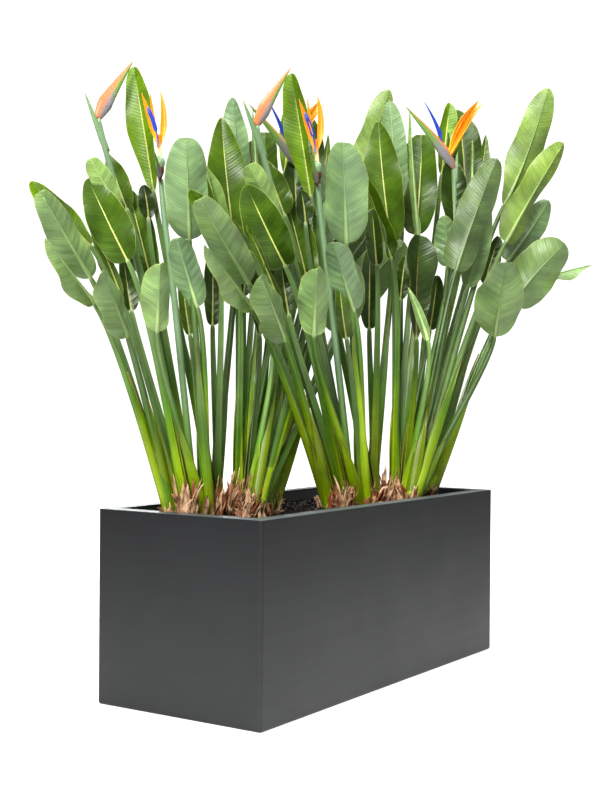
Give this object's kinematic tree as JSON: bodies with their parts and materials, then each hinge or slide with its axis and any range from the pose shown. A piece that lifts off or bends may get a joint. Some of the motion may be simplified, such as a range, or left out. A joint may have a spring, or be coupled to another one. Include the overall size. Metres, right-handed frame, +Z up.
{
  "type": "potted bird of paradise",
  "caption": "Long rectangular planter filled with soil, holding clumps of bird of paradise: paddle leaves on tall channelled stalks, orange and blue flowers, and dry husks at the feet.",
  "frame": {"origin": "middle of the planter's flat underside, on the surface that it stands on", "axes": "+X along the planter's length, +Y across it, +Z up. The picture looks at the corner between the -X end and the -Y side, with the taller reach of leaves to +X."},
  "size_m": [1.7276, 0.5494, 1.437],
  "materials": {
    "planter": "satin anthracite lacquer on a fibre composite body, lightly brushed look",
    "soil": "loose dark potting soil with white perlite",
    "leaf": "waxy leaf, satin: glossy green above, grey-green bloom beneath, lime stalks",
    "spathe": "waxy spathe, grey-green with orange and pink edges",
    "sepals": "satin orange petal",
    "petals": "satin blue petal",
    "husk": "dry fibrous brown husk"
  },
  "bodies": {
    "root": {"planter": "planter", "soil": "soil", "a_bud_flower_spathe": "spathe", "a_crane_flower_petals": "petals", "a_crane_flower_sepals": "sepals", "a_crane_flower_spathe": "spathe", "a_facing_flower_petals": "petals", "a_facing_flower_sepals": "sepals", "a_facing_flower_spathe": "spathe", "a_fan_back_right": "leaf", "a_fan_centre": "leaf", "a_fan_far_left": "leaf", "a_fan_far_right": "leaf", "a_fan_front_centre": "leaf", "a_fan_front_left": "leaf", "a_fan_front_right": "leaf", "a_fan_inner_left": "leaf", "a_fan_left": "leaf", "a_fan_middle": "leaf", "a_husk_tuft_1": "husk", "a_husk_tuft_2": "husk", "a_husk_tuft_3": "husk", "a_husk_tuft_4": "husk", "b_bud_flower_spathe": "spathe", "b_crane_flower_petals": "petals", "b_crane_flower_sepals": "sepals", "b_crane_flower_spathe": "spathe", "b_facing_flower_petals": "petals", "b_facing_flower_sepals": "sepals", "b_facing_flower_spathe": "spathe", "b_fan_back_right": "leaf", "b_fan_centre": "leaf", "b_fan_far_left": "leaf", "b_fan_far_right": "leaf", "b_fan_front_centre": "leaf", "b_fan_front_left": "leaf", "b_fan_front_right": "leaf", "b_fan_inner_left": "leaf", "b_fan_left": "leaf", "b_fan_middle": "leaf", "b_husk_tuft_1": "husk", "b_husk_tuft_2": "husk", "b_husk_tuft_3": "husk", "b_husk_tuft_4": "husk"}
  },
  "joints": []
}
